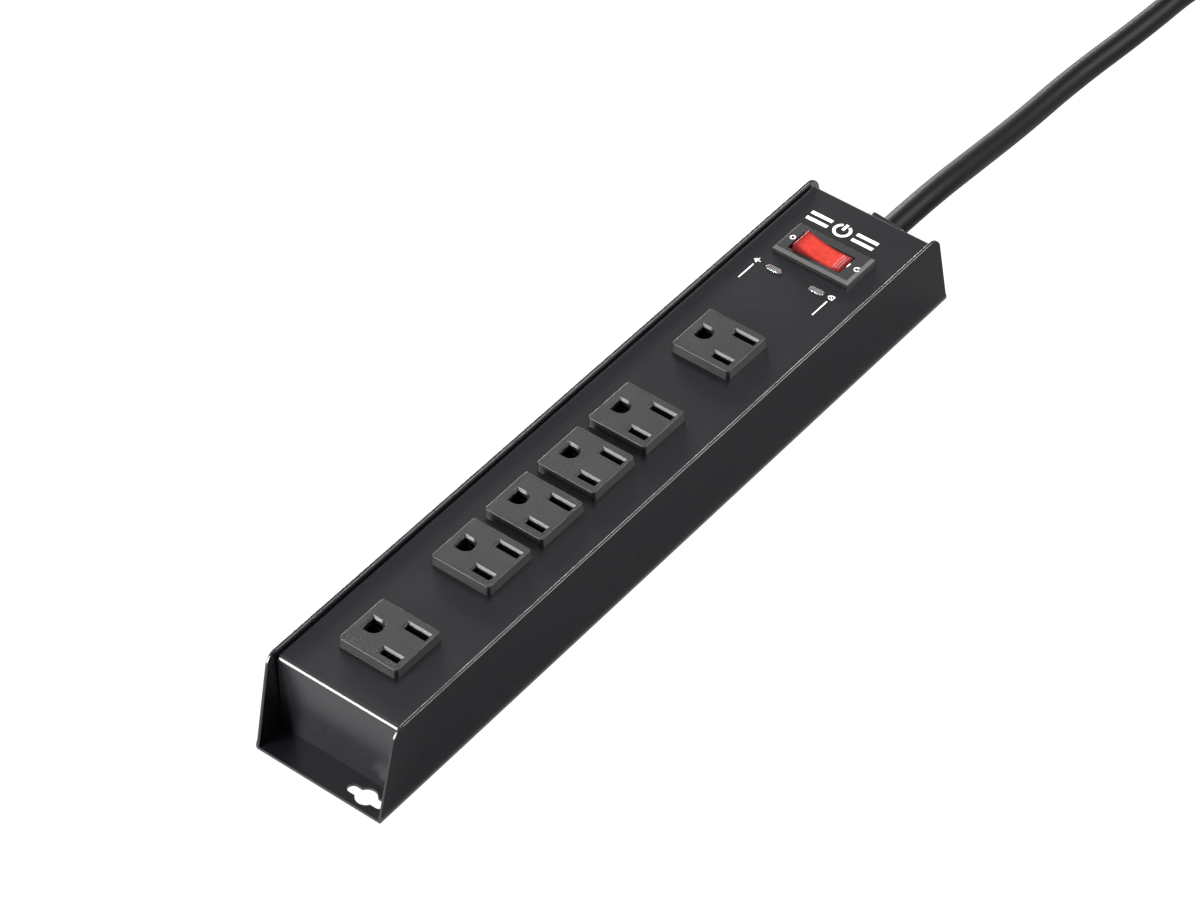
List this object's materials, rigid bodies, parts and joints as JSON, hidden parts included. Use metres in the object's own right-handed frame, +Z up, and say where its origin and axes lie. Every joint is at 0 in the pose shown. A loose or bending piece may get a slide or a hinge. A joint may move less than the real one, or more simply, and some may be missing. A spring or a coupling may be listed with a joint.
{
  "type": "power strip",
  "caption": "Long black sheet-steel power strip with square raised outlets in a row, a lit red rocker switch, two indicator windows, keyhole flanges and a round cord with plug.",
  "frame": {"origin": "centre of the base's underside, on the surface it lies on", "axes": "+X along the strip from its free end to its cord end, +Y towards the side of the ground holes, +Z up out of the outlets"},
  "size_m": [0.7108, 0.0709, 0.06],
  "materials": {
    "black_powder_coat": "satin black powder coat over sheet steel",
    "outlet_plastic": "fine-textured moulded black",
    "switch_plastic": "smooth moulded black",
    "rocker_red": "translucent red, lit from inside",
    "clear_lens": "clear smoky lens",
    "neon_glass": "small neon lamp",
    "contact_brass": "stamped brass strip",
    "plated_steel": "zinc plated",
    "liner_card": "grey insulating card",
    "board_laminate": "phenolic circuit board",
    "varistor_blue": "epoxy-dipped disc",
    "fuse_tan": "ceramic case",
    "white_nylon": "moulded nylon",
    "wire_black": "insulated wire, black",
    "wire_white": "insulated wire, white",
    "wire_green": "insulated wire, green",
    "gland_plastic": "moulded black nylon",
    "cord_jacket": "satin black vinyl jacket"
  },
  "bodies": {
    "housing": {"base_channel": "black_powder_coat", "top_cover": "black_powder_coat", "cover_screws": "plated_steel", "insulating_liner": "liner_card", "hot_bus_bar": "contact_brass", "neutral_bus_bar": "contact_brass", "ground_bus_bar": "contact_brass", "switch_case": "switch_plastic", "load_terminal": "contact_brass", "line_terminal": "contact_brass", "lamp_terminal": "contact_brass", "switch_lamp": "neon_glass", "grounded_lens": "clear_lens", "protected_lens": "clear_lens", "grounded_lamp": "neon_glass", "protected_lamp": "neon_glass", "surge_board": "board_laminate", "board_posts": "white_nylon", "varistors": "varistor_blue", "thermal_fuse": "fuse_tan", "strain_relief": "gland_plastic", "strain_relief_lock": "gland_plastic", "cord_inner_end": "cord_jacket", "line_wire": "wire_black", "load_wire": "wire_black", "neutral_wire": "wire_white", "ground_wire": "wire_green", "ground_link_wire": "wire_green", "ground_ring_terminal": "plated_steel", "ground_screw": "plated_steel", "cord_tube": "cord_jacket", "cord_hank": "cord_jacket", "cord_tail": "cord_jacket", "plug_body": "cord_jacket", "plug_hot_blade": "contact_brass", "plug_neutral_blade": "contact_brass", "plug_ground_pin": "contact_brass", "outlet_1": "outlet_plastic", "outlet_2": "outlet_plastic", "outlet_3": "outlet_plastic", "outlet_4": "outlet_plastic", "outlet_5": "outlet_plastic", "outlet_6": "outlet_plastic"},
    "rocker": {"switch_rocker": "rocker_red", "rocker_plunger": "white_nylon", "plunger_spring": "plated_steel"},
    "contact_arm": {"switch_contact_arm": "contact_brass"}
  },
  "joints": [
    {"name": "rocker_press", "type": "hinge", "parent": "housing", "child": "rocker", "pos_m": [0.1123, 0.00045, 0.0325], "axis": [-1, 0, 0], "range_deg": [0, 16]},
    {"name": "contact_rock", "type": "hinge", "parent": "housing", "child": "contact_arm", "pos_m": [0.1123, 0.00045, 0.0192], "axis": [-1, 0, 0], "range_deg": [-12, 0]}
  ],
  "couplings": [
    {"joint": "contact_rock", "follows": "rocker_press", "ratio": -0.75}
  ]
}
